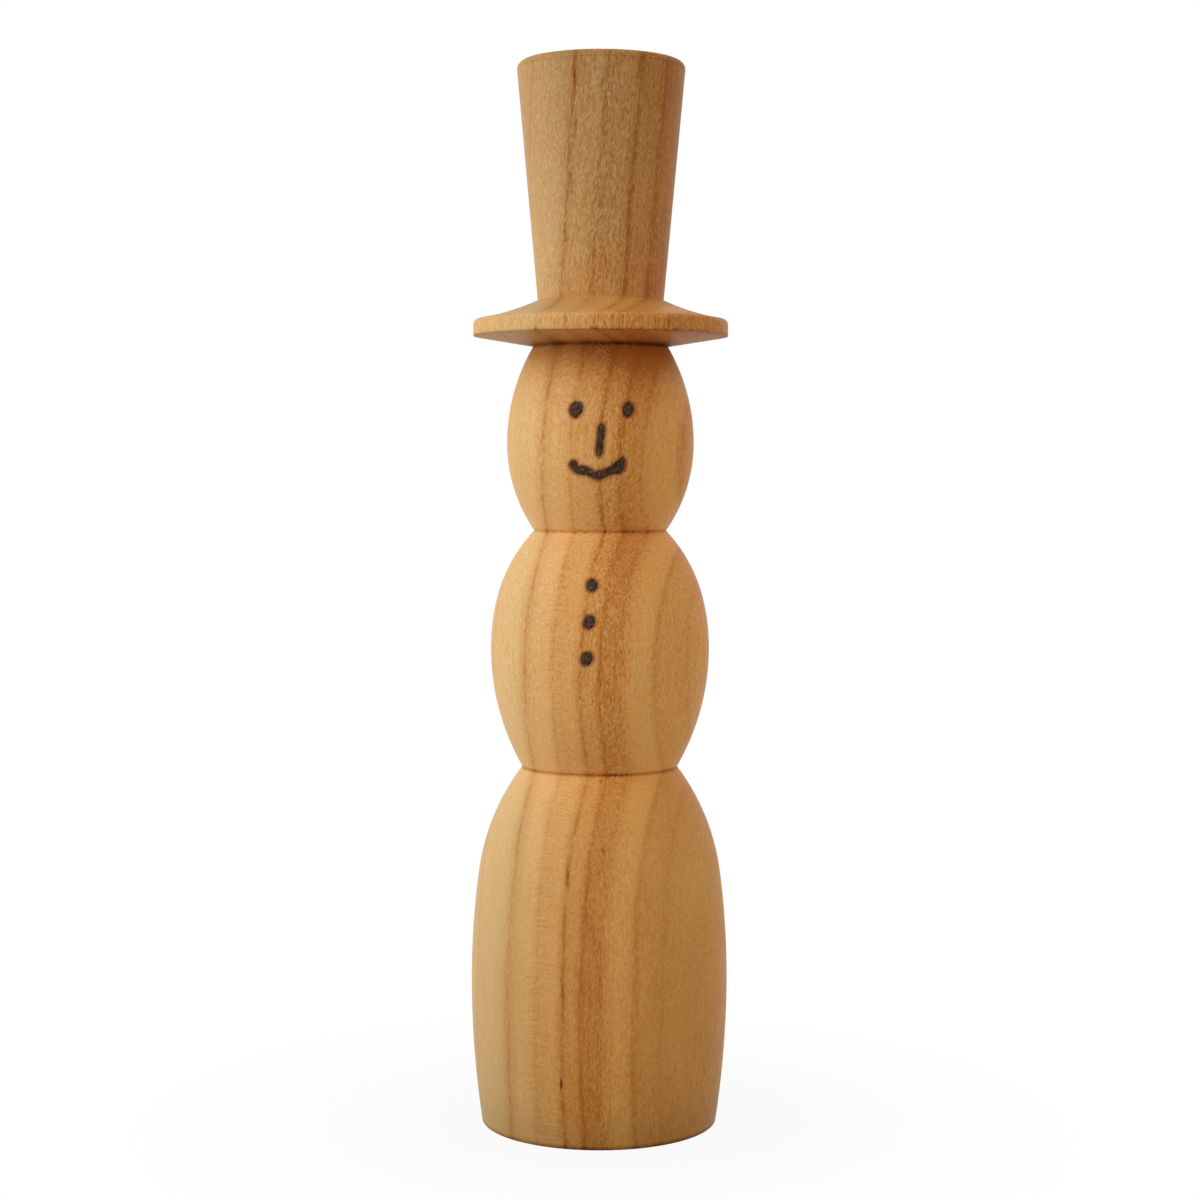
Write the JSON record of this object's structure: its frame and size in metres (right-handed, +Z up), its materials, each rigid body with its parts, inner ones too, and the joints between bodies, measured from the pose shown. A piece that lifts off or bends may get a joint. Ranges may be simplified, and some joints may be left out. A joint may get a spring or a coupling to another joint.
{
  "type": "turned wooden snowman figure",
  "caption": "Free-standing turned wooden snowman with a top hat: stacked rounded bulbs meeting in V grooves, a flat foot, and a face and buttons burnt into the front.",
  "frame": {"origin": "centre of the flat foot, on the surface that the figure stands on", "axes": "+Z up along the turning axis to the top of the hat; the face looks towards -Y; +X is to the figure's left"},
  "size_m": [0.0486, 0.0486, 0.2],
  "materials": {
    "oiled_wood": "golden-tan fruitwood, sanded and oiled to a satin sheen",
    "char": "charred wood in burnt marks, matt and rough"
  },
  "bodies": {
    "root": {"turned_figure": "oiled_wood", "right_eye": "char", "left_eye": "char", "nose": "char", "mouth": "char", "top_button": "char", "middle_button": "char", "bottom_button": "char"}
  },
  "joints": []
}
